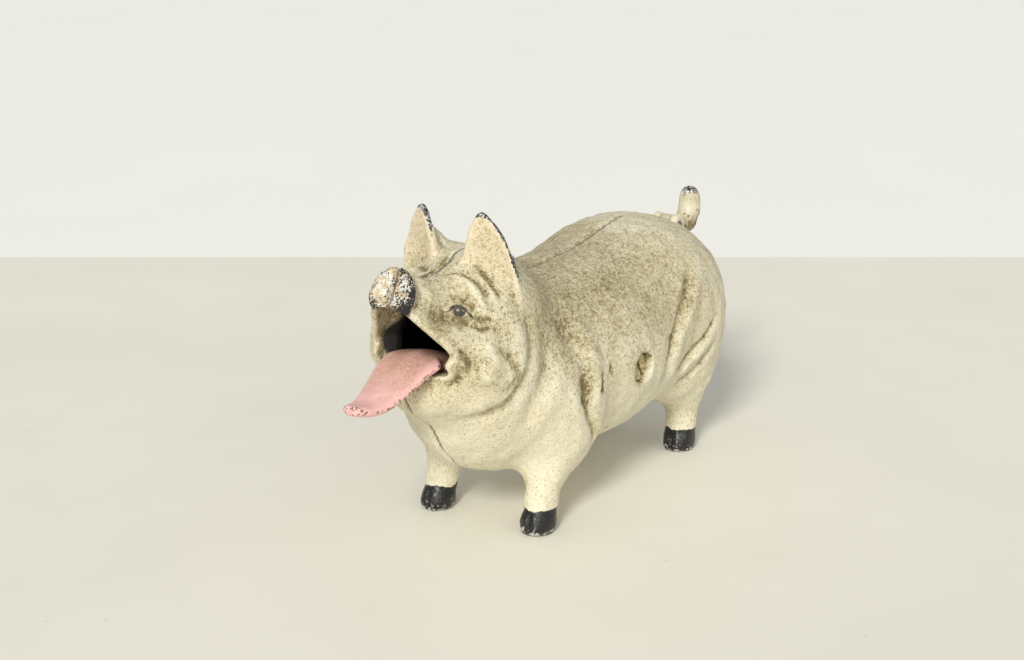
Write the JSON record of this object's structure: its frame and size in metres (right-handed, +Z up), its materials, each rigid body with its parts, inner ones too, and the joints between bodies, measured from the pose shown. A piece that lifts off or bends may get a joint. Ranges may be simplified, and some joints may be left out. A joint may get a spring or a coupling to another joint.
{
  "type": "mechanical pig money bank",
  "caption": "Cast iron pig money bank: pressing the tail lifts the tongue, which tips a coin back through the open mouth into the hollow body.",
  "frame": {"origin": "on the ground under the middle of the whole bank", "axes": "+Z up, the pig faces -Y, its left side is +X, the castings meet at X = 0"},
  "size_m": [0.0748, 0.22, 0.1125],
  "materials": {
    "body_paint": "worn cream enamel on cast iron",
    "tongue_paint": "worn pink enamel on cast iron",
    "tail_paint": "worn cream enamel, bare at the tip",
    "iron": "bare",
    "steel": "dull, lightly rusted"
  },
  "bodies": {
    "shells": {"left_shell": "body_paint", "right_shell": "body_paint", "tongue_pivot_pin": "steel", "tail_pivot_pin": "steel", "body_screw": "steel", "body_nut": "steel"},
    "tongue": {"tongue_lever": "tongue_paint", "front_rivet": "steel"},
    "tail": {"tail_lever": "tail_paint", "rear_rivet": "steel"},
    "rod": {"link_rod": "iron"}
  },
  "joints": [
    {"name": "tail_press", "type": "hinge", "parent": "shells", "child": "tail", "pos_m": [0, 0.088, 0.08], "axis": [-1, 0, 0], "range_deg": [0, 20]},
    {"name": "tongue_lift", "type": "hinge", "parent": "shells", "child": "tongue", "pos_m": [0, -0.068, 0.0625], "axis": [-1, 0, 0], "range_deg": [0, 22]},
    {"name": "rod_swing", "type": "hinge", "parent": "tail", "child": "rod", "pos_m": [0, 0.08287, 0.06591], "axis": [-1, 0, 0], "range_deg": [-22.17, 0]}
  ],
  "couplings": [
    {"joint": "tail_press", "follows": "tongue_lift", "ratio": 0.90909},
    {"joint": "rod_swing", "follows": "tongue_lift", "ratio": -1.0077}
  ]
}
